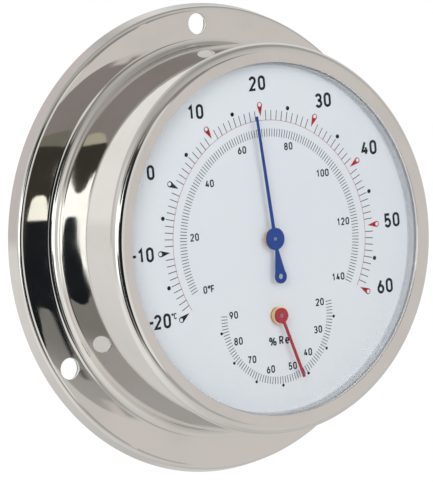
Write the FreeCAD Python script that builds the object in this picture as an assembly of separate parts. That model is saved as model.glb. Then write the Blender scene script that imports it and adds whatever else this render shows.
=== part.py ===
import FreeCAD, Part
import math
import os

# A round thermo-hygrometer for a wall: one spun case with a screw flange, a glass, a printed
# dial, and two movements behind it. The upper one is a bimetal coil that turns the long hand,
# the lower one is a moisture coil that turns the short hand.
# Lengths are millimetres and angles are degrees. The dial faces -Y, +Z is up, and the origin
# is the middle of the wall plane. Depths are counted from the wall towards the viewer.

# Case, one piece of sheet spun to shape
barrel_diameter = 102.0
case_depth = 32.5
flange_width = 11.5
flange_depth = 4.0
lip_width = 5.2
sheet = 0.8
rim_lean = 1.07
rim_bend = 1.35
foot_bend = 2.5
nose_bend = 2.8
lip_edge_radius = 0.25

# Wall screws through the flange, on a circle that stands off from the foot's bend
screw_land = 3.5
screw_hole_diameter = 5.6
screw_hole_edge = 0.15
screw_count = 3

# Glass and the ring behind it
glass_thickness = 1.0
glass_play = 0.3
pointer_space = 2.3
ring_reveal = 0.3
ring_bead_width = 0.3
ring_bead_height = 0.3
ring_bead_radius = 0.2
seat_play = 0.1

# Dial plate and where the two movements stand on it
dial_thickness = 0.8
hygrometer_drop = 20.1

# Where the hands stand, clockwise from the top and from the bottom. At 3 degrees of turn to a
# degree Celsius the first is 18.5 C, and at 2.74 degrees to a percent the second is 48.2 %.
temperature_hand_angle = -4.5
humidity_hand_angle = -18.6

# Carrier sleeve and back cover
sleeve_wall = 2.6
cover_thickness = 0.8
cover_play = 0.25
cover_screw_clearance = 0.6
access_hole_diameter = 7.0
vent_hole_diameter = 3.2
vent_circle_diameter = 74.0
vent_count = 24
stud_diameter = 2.5
stud_length = 2.6
stud_hole_play = 0.2
nut_across_flats = 5.0
nut_height = 1.5

# Bushes that clamp each movement to the dial
bush_flange_diameter = 4.6
bush_flange_thickness = 0.4
bush_neck_diameter = 3.5
bush_nut_across_flats = 5.5
bush_nut_height = 1.6
bush_thread_end = 0.4

# Arbors, and the running clearance round them
arbor_diameter = 1.0
running_play = 0.05
end_play = 0.15

# Bridges bent from strip
bridge_thickness = 1.0
bridge_width = 8.0
bridge_bend = 1.0
bridge_inside_depth = 12.6
bridge_overhang = 4.0
thermometer_bridge_reach = 14.5
hygrometer_bridge_reach = 10.5

# Rear bearings and the adjusters that turn on them
bearing_diameter = 4.0
bearing_head_diameter = 5.2
bearing_head_thickness = 0.4
bearing_length = 1.2
adjuster_thickness = 1.2
adjuster_diameter = 9.0
adjuster_arm_width = 3.0
adjuster_hub_diameter = 6.0
adjuster_hub_height = 1.6
adjuster_slot_width = 0.9
adjuster_slot_depth = 0.8
adjuster_floor = 0.2
adjuster_clamp_slit = 0.6
lug_thickness = 0.8

# Coils, each a flat strip wound in half turns about two centres
coil_width = 5.0
coil_stand_off = 1.5
coil_play = 0.15
collet_diameter = 3.2
collet_overhang = 0.3
collet_slit = 0.5
bimetal_strip = 0.4
bimetal_pitch = 1.6
bimetal_turns = 6
moisture_strip = 0.3
moisture_pitch = 1.4
moisture_turns = 4

# Hands
hand_thickness = 0.3
temperature_hand_length = 32.2
temperature_hand_root_width = 0.95
temperature_hand_tip_width = 0.65
temperature_disc_diameter = 5.8
temperature_hand_height = 2.05
temperature_collet_diameter = 5.0
tail_reach = 9.95
tail_root_width = 0.9
tail_flare_width = 3.0
tail_eye_diameter = 3.7
tail_hole_diameter = 1.45
humidity_hand_length = 17.7
humidity_hand_width = 0.75
humidity_disc_diameter = 4.0
humidity_hand_height = 2.05
humidity_collet_diameter = 4.6

# Overrun of every cut past the face that it goes through
overrun = 0.5

full_turn = 360.0
nut_sides = 6

# Depths worked out from the sizes above
lip_back = case_depth - sheet
glass_back = lip_back - glass_thickness
dial_face = glass_back - pointer_space
dial_back = dial_face - dial_thickness
bridge_front = dial_back
bridge_face = bridge_front - bridge_thickness
foot_face = bridge_face - bridge_inside_depth
foot_back = foot_face - bridge_thickness
coil_back = foot_face + coil_stand_off
coil_front = coil_back + coil_width
cover_front = flange_depth - sheet
cover_back = cover_front - cover_thickness
adjuster_back = foot_back - adjuster_thickness
hub_back = adjuster_back - adjuster_hub_height
bearing_back = foot_back - bearing_length

# Radii worked out from the sizes above
barrel_radius = barrel_diameter / 2
barrel_bore = barrel_radius - sheet
flange_radius = barrel_radius + flange_width
opening_radius = barrel_radius - lip_width
screw_circle = barrel_radius + foot_bend + screw_land

# The rim leans inwards on its way to the front, so across the axis it is thicker than the sheet
rim_slope = rim_lean / flange_depth
rim_inside = flange_radius - sheet / math.cos(math.atan(rim_slope))
rim_inner_corner = rim_inside - rim_slope * cover_front
cover_radius = rim_inner_corner - (rim_bend - sheet) - cover_play


def up(x, depth, z):
    return FreeCAD.Vector(x, -depth, z)


def rod(diameter, back, front, z=0.0, x=0.0):
    return Part.makeCylinder(diameter / 2, front - back, up(x, back, z), FreeCAD.Vector(0, -1, 0))


def slab(width, back, front, low, high, x=0.0):
    corner = FreeCAD.Vector(x - width / 2, -front, low)
    return Part.makeBox(width, front - back, high - low, corner)


def hexagon(across_flats, back, front, z=0.0, x=0.0):
    corner_radius = across_flats / 2 / math.cos(math.pi / nut_sides)
    corners = []
    for step in range(nut_sides + 1):
        angle = math.radians(step * full_turn / nut_sides)
        corners.append(up(x + corner_radius * math.cos(angle), back, z + corner_radius * math.sin(angle)))
    return Part.Face(Part.makePolygon(corners)).extrude(FreeCAD.Vector(0, back - front, 0))


def outline(corners, place):
    # A closed wire through corners of (u, v, radius), rounded where the radius isn't zero
    starts = []
    arcs = []
    ends = []
    for index, (u, v, radius) in enumerate(corners):
        here = FreeCAD.Vector(u, v, 0)
        before = FreeCAD.Vector(corners[index - 1][0], corners[index - 1][1], 0) - here
        after_corner = corners[(index + 1) % len(corners)]
        after = FreeCAD.Vector(after_corner[0], after_corner[1], 0) - here
        before.normalize()
        after.normalize()
        if radius == 0:
            starts.append(here)
            ends.append(here)
            arcs.append(None)
            continue
        half = before.getAngle(after) / 2
        middle = before + after
        middle.normalize()
        start = here + before * (radius / math.tan(half))
        end = here + after * (radius / math.tan(half))
        crown = here + middle * (radius / math.sin(half) - radius)
        starts.append(start)
        ends.append(end)
        arcs.append(crown)
    edges = []
    for index in range(len(corners)):
        if arcs[index] is not None:
            edges.append(Part.Arc(place(starts[index]), place(arcs[index]), place(ends[index])).toShape())
        following = starts[(index + 1) % len(corners)]
        edges.append(Part.LineSegment(place(ends[index]), place(following)).toShape())
    return Part.Wire(edges)


def spun(corners):
    # Corners are (radius from the axis, depth, corner radius)
    wire = outline(corners, lambda point: FreeCAD.Vector(point.x, -point.y, 0))
    return Part.Face(wire).revolve(FreeCAD.Vector(0, 0, 0), FreeCAD.Vector(0, 1, 0), full_turn)


def round_the_axis(count, radius, offset_turns=0.0):
    # Places on a circle, clockwise from the top as seen from the front
    places = []
    for index in range(count):
        angle = math.radians(full_turn * (index + offset_turns) / count)
        places.append((radius * math.sin(angle), radius * math.cos(angle)))
    return places


def turned(shape, degrees, z=0.0):
    # Positive is clockwise as seen from the front
    result = shape.copy()
    result.rotate(FreeCAD.Vector(0, 0, z), FreeCAD.Vector(0, 1, 0), degrees)
    return result


def case():
    profile = [
        (rim_inside, 0, 0),
        (flange_radius, 0, 0),
        (flange_radius - rim_lean, flange_depth, rim_bend),
        (barrel_radius, flange_depth, foot_bend),
        (barrel_radius, case_depth, nose_bend),
        (opening_radius, case_depth, lip_edge_radius),
        (opening_radius, lip_back, 0),
        (barrel_bore, lip_back, nose_bend - sheet),
        (barrel_bore, cover_front, foot_bend + sheet),
        (rim_inner_corner, cover_front, rim_bend - sheet),
    ]
    shell = spun(profile)
    for x, z in round_the_axis(screw_count, screw_circle):
        shell = shell.cut(rod(screw_hole_diameter, -overrun, flange_depth + overrun, z, x))
    return shell.makeFillet(screw_hole_edge, screw_hole_mouths(shell))


def screw_hole_mouths(shell):
    # The front edges of the screw holes, where the sheet's face turns in
    mouths = []
    for edge in shell.Edges:
        on_face = math.isclose(edge.BoundBox.YMin, -flange_depth, abs_tol=sheet / 100)
        flat = math.isclose(edge.BoundBox.YMax, -flange_depth, abs_tol=sheet / 100)
        if on_face and flat and edge.BoundBox.XLength < 2 * screw_hole_diameter:
            mouths.append(edge)
    return mouths


def glass():
    diameter = 2 * (barrel_bore - (nose_bend - sheet) - glass_play)
    return rod(diameter, glass_back, lip_back)


def spacer_ring():
    # Its wall stands on a small bead that runs round the print, and where the case's bend comes
    # down past the glass, its outer corner is rounded about the same centre
    outside = barrel_bore - seat_play
    corner = max(nose_bend - sheet - glass_thickness, 0)
    wall = opening_radius - ring_reveal
    bead = wall - ring_bead_width
    bead_top = dial_face + ring_bead_height
    profile = [
        (bead, dial_face, 0),
        (outside, dial_face, 0),
        (outside, glass_back, corner),
        (wall, glass_back, 0),
        (wall, bead_top, 0),
        (bead, bead_top, ring_bead_radius),
    ]
    return spun(profile)


def dial():
    plate = rod(2 * (barrel_bore - seat_play), dial_back, dial_face)
    for z in (0.0, -hygrometer_drop):
        plate = plate.cut(rod(bush_neck_diameter, dial_back - overrun, dial_face + overrun, z))
    return plate


def carrier_sleeve():
    outside = barrel_bore - seat_play
    profile = [
        (outside - sleeve_wall, cover_front, 0),
        (outside, cover_front, 0),
        (outside, dial_back, 0),
        (outside - sleeve_wall, dial_back, 0),
    ]
    return spun(profile)


def back_cover():
    # The wall screws pass it in slots that are open at its edge
    plate = rod(2 * cover_radius, cover_back, cover_front)
    low = cover_back - overrun
    high = cover_front + overrun
    slot_width = screw_hole_diameter + cover_screw_clearance
    slot = rod(slot_width, low, high, screw_circle)
    slot = slot.fuse(slab(slot_width, low, high, screw_circle, cover_radius + overrun))
    for index in range(screw_count):
        plate = plate.cut(turned(slot, index * full_turn / screw_count))
    for x, z in round_the_axis(screw_count, screw_circle, 0.5):
        plate = plate.cut(rod(stud_diameter + stud_hole_play, low, high, z, x))
    for x, z in round_the_axis(vent_count, vent_circle_diameter / 2):
        plate = plate.cut(rod(vent_hole_diameter, low, high, z, x))
    for z in (0.0, -hygrometer_drop):
        plate = plate.cut(rod(access_hole_diameter, low, high, z))
    return plate


def cover_studs():
    studs = []
    for x, z in round_the_axis(screw_count, screw_circle, 0.5):
        studs.append(rod(stud_diameter, cover_front - stud_length, cover_front, z, x))
    return Part.makeCompound(studs)


def cover_nuts():
    nuts = []
    for x, z in round_the_axis(screw_count, screw_circle, 0.5):
        nut = hexagon(nut_across_flats, cover_back - nut_height, cover_back, z, x)
        nuts.append(nut.cut(rod(stud_diameter, cover_back - nut_height - overrun, cover_back + overrun, z, x)))
    return Part.makeCompound(nuts)


def bush(z):
    neck_back = bridge_face - bush_nut_height - bush_thread_end
    body = rod(bush_neck_diameter, neck_back, dial_face, z)
    body = body.fuse(rod(bush_flange_diameter, dial_face, dial_face + bush_flange_thickness, z))
    bore = rod(arbor_diameter + 2 * running_play, neck_back - overrun, dial_face + bush_flange_thickness + overrun, z)
    return body.cut(bore).removeSplitter()


def bush_nut(z):
    nut = hexagon(bush_nut_across_flats, bridge_face - bush_nut_height, bridge_face, z)
    return nut.cut(rod(bush_neck_diameter, bridge_face - bush_nut_height - overrun, bridge_face + overrun, z))


def bridge(z, reach):
    # A strip bent to a C, open on the side away from its arm. The sign of reach says up or down.
    way = math.copysign(1, reach)
    arm = z + reach
    arm_back = arm + way * bridge_thickness
    end = z - way * bridge_overhang
    outer_bend = bridge_bend + bridge_thickness
    corners = [
        (end, bridge_front, 0),
        (arm_back, bridge_front, outer_bend),
        (arm_back, foot_back, outer_bend),
        (end, foot_back, 0),
        (end, foot_face, 0),
        (arm, foot_face, bridge_bend),
        (arm, bridge_face, bridge_bend),
        (end, bridge_face, 0),
    ]
    left = -bridge_width / 2
    wire = outline(corners, lambda point: FreeCAD.Vector(left, -point.y, point.x))
    strip = Part.Face(wire).extrude(FreeCAD.Vector(bridge_width, 0, 0))
    strip = strip.cut(rod(bush_neck_diameter, bridge_face - overrun, bridge_front + overrun, z))
    return strip.cut(rod(bearing_diameter, foot_back - overrun, foot_face + overrun, z))


def rear_bearing(z):
    body = rod(bearing_diameter, bearing_back, foot_face, z)
    body = body.fuse(rod(bearing_head_diameter, foot_face, foot_face + bearing_head_thickness, z))
    bore = rod(arbor_diameter + 2 * running_play, bearing_back - overrun,
               foot_face + bearing_head_thickness + overrun, z)
    return body.cut(bore).removeSplitter()


def coil_start(strip):
    return collet_diameter / 2 + coil_play + strip / 2


def coil(z, strip, pitch, turns):
    # Half turns about two centres half a pitch apart, so each is a true arc and tangent to the next
    step = pitch / 2
    inner = []
    outer = []
    radius = coil_start(strip)
    for half in range(2 * turns):
        centre = 0.0 if half % 2 == 0 else step
        way = 1 if half % 2 == 0 else -1
        for side, offset in ((inner, -strip / 2), (outer, strip / 2)):
            reach = radius + offset
            first = up(centre + way * reach, coil_back, z)
            crown = up(centre, coil_back, z + way * reach)
            last = up(centre - way * reach, coil_back, z)
            side.append(Part.Arc(first, crown, last).toShape())
        radius += step
    start_gap = Part.LineSegment(inner[0].Vertexes[0].Point, outer[0].Vertexes[0].Point).toShape()
    end_gap = Part.LineSegment(inner[-1].Vertexes[-1].Point, outer[-1].Vertexes[-1].Point).toShape()
    edges = inner + outer + [start_gap, end_gap]
    wire = Part.Wire(Part.__sortEdges__(edges))
    return Part.Face(wire).extrude(FreeCAD.Vector(0, coil_back - coil_front, 0))


def coil_end(strip, pitch, turns):
    # Where the outer face of the last half turn ends, on the right of the arbor
    return coil_start(strip) + pitch * turns + strip / 2


def adjuster(z, strip, pitch, turns):
    # A slit lever clamped on the rear bearing. Its lug holds the coil's outer end, and its hub
    # closes the bearing behind and has a screwdriver slot.
    lug_near = coil_end(strip, pitch, turns)
    lug_far = lug_near + lug_thickness
    lever = rod(adjuster_diameter, adjuster_back, foot_back, z)
    low = z - adjuster_arm_width / 2
    high = z + adjuster_arm_width / 2
    arm = slab(lug_far, adjuster_back, foot_back, low, high, lug_far / 2)
    lug = slab(lug_thickness, adjuster_back, coil_front, low, high, (lug_near + lug_far) / 2)
    hub = rod(adjuster_hub_diameter, hub_back, adjuster_back, z)
    body = lever.fuse([arm, lug, hub])
    bore = rod(bearing_diameter + 2 * running_play, bearing_back - adjuster_floor, foot_back + overrun, z)
    slot = slab(adjuster_slot_width, hub_back - overrun, hub_back + adjuster_slot_depth,
                z - adjuster_diameter, z + adjuster_diameter)
    slit = slab(adjuster_diameter, adjuster_back, foot_back + overrun,
                z - adjuster_clamp_slit / 2, z + adjuster_clamp_slit / 2, -adjuster_diameter / 2)
    return body.cut(bore).cut(slot).cut(slit).removeSplitter()


def coil_collet(z):
    back = coil_back - collet_overhang
    front = coil_front + collet_overhang
    body = rod(collet_diameter, back, front, z)
    bore = rod(arbor_diameter, back - overrun, front + overrun, z)
    slit = slab(collet_diameter, back - overrun, front + overrun,
                z - collet_slit / 2, z + collet_slit / 2, -collet_diameter / 2)
    return body.cut(bore).cut(slit)


def arbor(z, hand_height):
    return rod(arbor_diameter, bearing_back, dial_face + hand_height, z)


def hand_collet(z, diameter, hand_height):
    back = dial_face + bush_flange_thickness + end_play
    front = dial_face + hand_height - hand_thickness
    body = rod(diameter, back, front, z)
    return body.cut(rod(arbor_diameter, back - overrun, front + overrun, z))


def hand_blade(corners, height):
    back = dial_face + height - hand_thickness
    points = [up(x, back, z) for x, z in corners]
    return Part.Face(Part.makePolygon(points + points[:1])).extrude(FreeCAD.Vector(0, -hand_thickness, 0))


def temperature_pointer():
    back = dial_face + temperature_hand_height - hand_thickness
    front = dial_face + temperature_hand_height
    root = temperature_hand_root_width / 2
    tip = temperature_hand_tip_width / 2
    tail_root = tail_root_width / 2
    flare = tail_flare_width / 2
    eye_radius = tail_eye_diameter / 2
    flare_end = -tail_reach + math.sqrt(eye_radius ** 2 - flare ** 2)
    tail_start = -temperature_disc_diameter / 2
    blade = hand_blade([(-root, 0), (root, 0), (tip, temperature_hand_length),
                        (-tip, temperature_hand_length)], temperature_hand_height)
    tail = hand_blade([(-tail_root, 0), (tail_root, 0), (tail_root, tail_start),
                       (flare, flare_end), (-flare, flare_end), (-tail_root, tail_start)],
                      temperature_hand_height)
    disc = rod(temperature_disc_diameter, back, front)
    eye = rod(tail_eye_diameter, back, front, -tail_reach)
    body = disc.fuse([blade, tail, eye]).removeSplitter()
    body = body.cut(rod(tail_hole_diameter, back - overrun, front + overrun, -tail_reach))
    body = body.cut(rod(arbor_diameter, back - overrun, front + overrun))
    return turned(body, temperature_hand_angle)


def humidity_pointer():
    z = -hygrometer_drop
    back = dial_face + humidity_hand_height - hand_thickness
    front = dial_face + humidity_hand_height
    side = humidity_hand_width / 2
    end = z - humidity_hand_length
    blade = hand_blade([(-side, z), (-side, end), (side, end), (side, z)], humidity_hand_height)
    body = rod(humidity_disc_diameter, back, front, z).fuse(blade).removeSplitter()
    body = body.cut(rod(arbor_diameter, back - overrun, front + overrun, z))
    return turned(body, humidity_hand_angle, z)


def parts():
    low = -hygrometer_drop
    bimetal = (bimetal_strip, bimetal_pitch, bimetal_turns)
    moisture = (moisture_strip, moisture_pitch, moisture_turns)
    return {
        "case": case(),
        "glass": glass(),
        "spacer_ring": spacer_ring(),
        "dial": dial(),
        "carrier_sleeve": carrier_sleeve(),
        "back_cover": back_cover(),
        "cover_studs": cover_studs(),
        "cover_nuts": cover_nuts(),
        "thermometer_bush": bush(0.0),
        "thermometer_bush_nut": bush_nut(0.0),
        "thermometer_bridge": bridge(0.0, thermometer_bridge_reach),
        "thermometer_rear_bearing": rear_bearing(0.0),
        "hygrometer_bush": bush(low),
        "hygrometer_bush_nut": bush_nut(low),
        "hygrometer_bridge": bridge(low, -hygrometer_bridge_reach),
        "hygrometer_rear_bearing": rear_bearing(low),
        "temperature_adjuster": adjuster(0.0, *bimetal),
        "bimetal_coil": coil(0.0, *bimetal),
        "humidity_adjuster": adjuster(low, *moisture),
        "moisture_coil": coil(low, *moisture),
        "temperature_pointer": temperature_pointer(),
        "temperature_hand_collet": hand_collet(0.0, temperature_collet_diameter, temperature_hand_height),
        "temperature_arbor": arbor(0.0, temperature_hand_height),
        "bimetal_collet": coil_collet(0.0),
        "humidity_pointer": humidity_pointer(),
        "humidity_hand_collet": hand_collet(low, humidity_collet_diameter, humidity_hand_height),
        "humidity_arbor": arbor(low, humidity_hand_height),
        "moisture_collet": coil_collet(low),
    }


os.makedirs("parts", exist_ok=True)
for name, shape in parts().items():
    shape.exportStep("parts/" + name + ".step")
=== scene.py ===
import math

import bpy
from mathutils import Matrix, Vector
from mathutils.geometry import delaunay_2d_cdt


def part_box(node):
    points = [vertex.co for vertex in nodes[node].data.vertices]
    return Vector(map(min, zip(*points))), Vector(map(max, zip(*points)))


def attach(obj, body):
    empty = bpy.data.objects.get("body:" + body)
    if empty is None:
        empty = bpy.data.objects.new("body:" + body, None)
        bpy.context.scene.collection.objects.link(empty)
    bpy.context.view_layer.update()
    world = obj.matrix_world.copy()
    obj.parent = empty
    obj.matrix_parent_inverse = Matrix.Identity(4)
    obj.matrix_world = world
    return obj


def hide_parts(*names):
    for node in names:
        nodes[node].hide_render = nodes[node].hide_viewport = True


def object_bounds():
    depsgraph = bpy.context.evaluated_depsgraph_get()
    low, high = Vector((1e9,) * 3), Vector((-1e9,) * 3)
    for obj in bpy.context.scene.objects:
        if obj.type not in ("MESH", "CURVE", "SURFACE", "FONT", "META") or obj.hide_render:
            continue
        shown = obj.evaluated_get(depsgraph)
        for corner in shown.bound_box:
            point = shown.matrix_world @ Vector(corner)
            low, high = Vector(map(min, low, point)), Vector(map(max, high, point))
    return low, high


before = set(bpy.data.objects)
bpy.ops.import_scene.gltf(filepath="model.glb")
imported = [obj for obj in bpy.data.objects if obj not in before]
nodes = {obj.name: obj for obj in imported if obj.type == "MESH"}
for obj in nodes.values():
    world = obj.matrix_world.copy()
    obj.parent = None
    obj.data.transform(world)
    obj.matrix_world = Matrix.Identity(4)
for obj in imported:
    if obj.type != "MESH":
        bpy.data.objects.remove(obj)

cad_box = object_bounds()

# Lengths are millimetres until they become mesh points, and MM turns them into metres.
# x is right, y is depth with the dial facing -y, and z is up. Angles are degrees.
MM = 0.001
HOUSING = "case_assembly"

# Camera, solved from the ellipses of the photograph
IMAGE_HEIGHT = 482
FOCAL_LENGTH_PIXELS = 3610.68
SENSOR_WIDTH = 36.0
CAMERA_PLACE = Vector((-548.689, -787.819, 71.423)) * MM
CAMERA_AZIMUTH = -34.998
CAMERA_ELEVATION = 4.322
CAMERA_ROLL = -4.961
CLIP_START = 0.05
CLIP_END = 20.0

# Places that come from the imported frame
DIAL_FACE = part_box("dial")[0].y / MM
HYGROMETER_Z = (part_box("hygrometer_bush")[0].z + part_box("hygrometer_bush")[1].z) / 2 / MM

# The case, in radii and depths towards the viewer, and how finely it is spun
FLANGE_RADIUS = -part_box("case")[0].x / MM
CASE_DEPTH = -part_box("case")[0].y / MM
BARREL_RADIUS = 51.0
OPENING_RADIUS = 45.8
FLANGE_DEPTH = 4.0
FLANGE_FOOT_RISE = 0.055
FLANGE_CROWN_RADIUS = 57.0
FLANGE_CROWN_RISE = 0.025
FLANGE_CROWN_BEND = 165.0
FLANGE_SHOULDER_RADIUS = 60.2
FLANGE_SHOULDER_DROP = 0.123
FLANGE_SHOULDER_BEND = 2.0
FLANGE_RIM_DROP = 0.349
SHEET = 0.8
RIM_LEAN = 1.07
RIM_BEND = 1.35
FOOT_BEND = 2.5
NOSE_BEND = 2.8
LIP_EDGE_RADIUS = 0.25
SCREW_HOLE_RADIUS = 2.8
SCREW_HOLE_EDGE = 0.15
SCREW_CIRCLE = 57.0
SCREW_COUNT = 3
FACE_LEAN = 4.5
BEND_STEP = 6.0
TURN_STEPS = 384
HOLE_STEPS = 48
HOLE_EDGE_STEPS = 4
SAME_POINT = 1e-6

# The print stands this far out of the dial, and reaches a little into it
INK_HEIGHT = 0.02
INK_ROOT = 0.01

# The Celsius and the humidity scale have a figure at every ten and a dot half way between
FIGURE_EVERY = 10

# Celsius scale: three degrees of arc to a degree, with 20 at the top
CELSIUS_LOW = -20
CELSIUS_HIGH = 60
CELSIUS_TOP = 20
ARC_PER_CELSIUS = 3.0
CELSIUS_ARC_RADIUS = 30.9
CELSIUS_ARC_WIDTH = 0.13
CELSIUS_TICK_END = 33.5
CELSIUS_TICK_WIDTH = 0.2
CELSIUS_DOT_CIRCLE = 34.45
CELSIUS_DOT_RADIUS = 0.56
PIN_TIP_CIRCLE = 31.92
PIN_RING_CIRCLE = 34.87
PIN_RING_RADIUS = 0.8
PIN_HOLE_RADIUS = 0.5
PIN_HOLE_SHIFT = 0.12
CELSIUS_FIGURE_HEIGHT = 3.85
CELSIUS_FIGURE_PLACES = {
    "0": (-35.8, 21.0), "10": (-20.5, 35.0), "20": (-0.2, 40.6), "30": (20.6, 34.3),
    "40": (34.4, 20.4), "50": (40.1, 0.5), "60": (36.0, -16.7),
}
COLD_FIGURE_PLACES = {"10": (-39.65, 0.25), "20": (-36.15, -17.1)}
COLD_DASH_REACH = 3.4
COLD_DASH_LENGTH = 1.1
CELSIUS_UNIT_PLACE = (-32.4, -16.2)
CELSIUS_UNIT_HEIGHT = 1.6
CELSIUS_UNIT_STEPS = [0.42]

# Fahrenheit scale, inside the Celsius one and tied to it
FAHRENHEIT_LOW = 0
FAHRENHEIT_HIGH = 140
FAHRENHEIT_FREEZING = 32
FAHRENHEIT_PER_CELSIUS = 1.8
FAHRENHEIT_TICK_START = 26.6
FAHRENHEIT_TICK_END = 28.7
FAHRENHEIT_TICK_WIDTH = 0.18
SMALL_FIGURE_HEIGHT = 2.0
FAHRENHEIT_FIGURE_PLACES = {
    "20": (-24.0, 3.1), "40": (-17.9, 16.3), "60": (-6.8, 23.8), "80": (8.1, 23.4),
    "100": (18.4, 15.3), "120": (23.8, 1.9), "140": (20.7, -12.4),
}
FAHRENHEIT_ZERO_PLACE = (-20.9, -10.7)
FAHRENHEIT_ZERO_STEPS = [0.74, 0.44]

# Humidity scale: 55 per cent at the bottom, growing clockwise
HUMIDITY_LOW = 20
HUMIDITY_HIGH = 90
HUMIDITY_BOTTOM = 55
ARC_PER_PERCENT = 2.74
HUMIDITY_TICK_START = 16.0
HUMIDITY_TICK_END = 17.9
HUMIDITY_TICK_WIDTH = 0.18
HUMIDITY_DOT_CIRCLE = 18.35
HUMIDITY_DOT_RADIUS = 0.4
HUMIDITY_FIGURE_PLACES = {
    "90": (-13.9, -18.3), "80": (-13.1, -25.2), "70": (-9.3, -30.5), "60": (-3.6, -33.8),
    "50": (3.5, -33.8), "40": (8.8, -30.9), "30": (12.7, -25.4), "20": (14.0, -18.3),
}
HUMIDITY_UNIT_PLACE = (0.6, -26.7)
HUMIDITY_UNIT_HEIGHT = 2.3
HUMIDITY_UNIT_STEPS = [1.42, 0.82, 0.62]

# Figures, in shares of their height: stroke, width over all, and step from one to the next
STROKE = 0.18
FIGURE_WIDTH = 0.6
FIGURE_STEP = 0.75
ARC_STEP = 18.0
MITRE_LIMIT = 2.0

# Light levels: what matt surfaces and the camera meet round the case
PLAIN_LEVEL = (0.42, 0.42, 0.42, 1.0)
WHITE = (1.0, 1.0, 1.0, 1.0)
FLOOR_GLOW = 1.12
FLOOR_GLOW_SHARE = 0.85

# The room that metal mirrors: how soft its edges are, and the turn under which they end at the floor
EDGE_SOFTNESS = 0.8
FLOOR_TURN = -95.0


# Meshes

def link(name, mesh, material, body=HOUSING):
    """Makes a piece that rides on a body and has the given finish."""
    piece = bpy.data.objects.new(name, mesh)
    bpy.context.scene.collection.objects.link(piece)
    mesh.materials.append(material)
    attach(piece, body)
    return piece


def ink_point(x, z, raised):
    """A mesh point on the print's face, or under it in the dial."""
    depth = DIAL_FACE - INK_HEIGHT if raised else DIAL_FACE + INK_ROOT
    return (x * MM, depth * MM, z * MM)


class Print:
    """Flat closed prisms on the dial, gathered into one mesh."""

    def __init__(self):
        self.points = []
        self.faces = []

    def band(self, near_side, far_side, closed=False):
        """A strip between two rows of (x, z) points. The near side is on the right of the way."""
        first = len(self.points)
        count = len(near_side)
        for near, far in zip(near_side, far_side):
            for side in (near, far):
                self.points.append(ink_point(*side, raised=True))
                self.points.append(ink_point(*side, raised=False))
        for step in range(count if closed else count - 1):
            here = first + 4 * step
            there = first + 4 * ((step + 1) % count)
            near_top, near_low, far_top, far_low = range(here, here + 4)
            next_near_top, next_near_low, next_far_top, next_far_low = range(there, there + 4)
            self.faces.append((near_top, next_near_top, next_far_top, far_top))
            self.faces.append((near_low, far_low, next_far_low, next_near_low))
            self.faces.append((near_top, near_low, next_near_low, next_near_top))
            self.faces.append((far_top, next_far_top, next_far_low, far_low))
        if not closed:
            last = first + 4 * (count - 1)
            self.faces.append((first, first + 2, first + 3, first + 1))
            self.faces.append((last, last + 1, last + 3, last + 2))

    def disc(self, x, z, radius, sides=16):
        """A round dot."""
        first = len(self.points)
        for side in range(sides):
            angle = math.tau * side / sides
            place = (x + radius * math.cos(angle), z + radius * math.sin(angle))
            self.points.append(ink_point(*place, raised=True))
            self.points.append(ink_point(*place, raised=False))
        self.faces.append(tuple(first + 2 * side for side in range(sides)))
        self.faces.append(tuple(first + 2 * side + 1 for side in reversed(range(sides))))
        for side in range(sides):
            here = first + 2 * side
            there = first + 2 * ((side + 1) % sides)
            self.faces.append((here, here + 1, there + 1, there))

    def stroke(self, path, width, closed=False):
        """A line of even width along a path, with mitred corners."""
        near_side = []
        far_side = []
        count = len(path)
        for index, (x, z) in enumerate(path):
            before = path[index - 1] if index or closed else None
            after = path[(index + 1) % count] if index < count - 1 or closed else None
            way_in = unit(before, (x, z)) if before else None
            way_out = unit((x, z), after) if after else None
            way_in = way_in or way_out
            way_out = way_out or way_in
            across = (-(way_in[1] + way_out[1]), way_in[0] + way_out[0])
            length = math.hypot(*across)
            across = (across[0] / length, across[1] / length)
            spread = across[0] * -way_in[1] + across[1] * way_in[0]
            reach = width / 2 / max(spread, 1 / MITRE_LIMIT)
            near_side.append((x - across[0] * reach, z - across[1] * reach))
            far_side.append((x + across[0] * reach, z + across[1] * reach))
        self.band(near_side, far_side, closed)

    def put(self, name, material, slot="dial_lacquer"):
        mesh = bpy.data.meshes.new(name)
        mesh.from_pydata(self.points, [], self.faces)
        mesh.validate()
        return link(name, mesh, material)


def unit(start, end):
    length = math.dist(start, end)
    return ((end[0] - start[0]) / length, (end[1] - start[1]) / length)


def on_circle(radius, clockwise, centre_z=0.0):
    """A place on a circle of the dial, counted clockwise from the top."""
    angle = math.radians(clockwise)
    return (radius * math.sin(angle), centre_z + radius * math.cos(angle))


# The case, spun from its section with screw holes let into the flange

def right_of(way):
    """The direction on the right of a way."""
    return Vector((way.y, -way.x))


def rounded_section(corners):
    """Goes round a section whose corners are (radius from the axis, depth, bend radius). Gives each
    point with the outward normal of what comes before it and of what comes after."""
    section = []
    for index, (r, d, bend) in enumerate(corners):
        here = Vector((r, d))
        before = (Vector(corners[index - 1][:2]) - here).normalized()
        after = (Vector(corners[(index + 1) % len(corners)][:2]) - here).normalized()
        if bend == 0:
            section.append((here, right_of(-before), right_of(after)))
            continue
        half = before.angle(after) / 2
        centre = here + (before + after).normalized() * bend / math.sin(half)
        spoke = here + before * bend / math.tan(half) - centre
        turn = math.pi - 2 * half
        if before.cross(after) > 0:
            turn = -turn
        steps = max(3, round(abs(math.degrees(turn)) / BEND_STEP))
        for step in range(steps + 1):
            arm = Matrix.Rotation(turn * step / steps, 2) @ spoke
            normal = arm.normalized() if turn > 0 else -arm.normalized()
            section.append((centre + arm, normal, normal))
    return section


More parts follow.
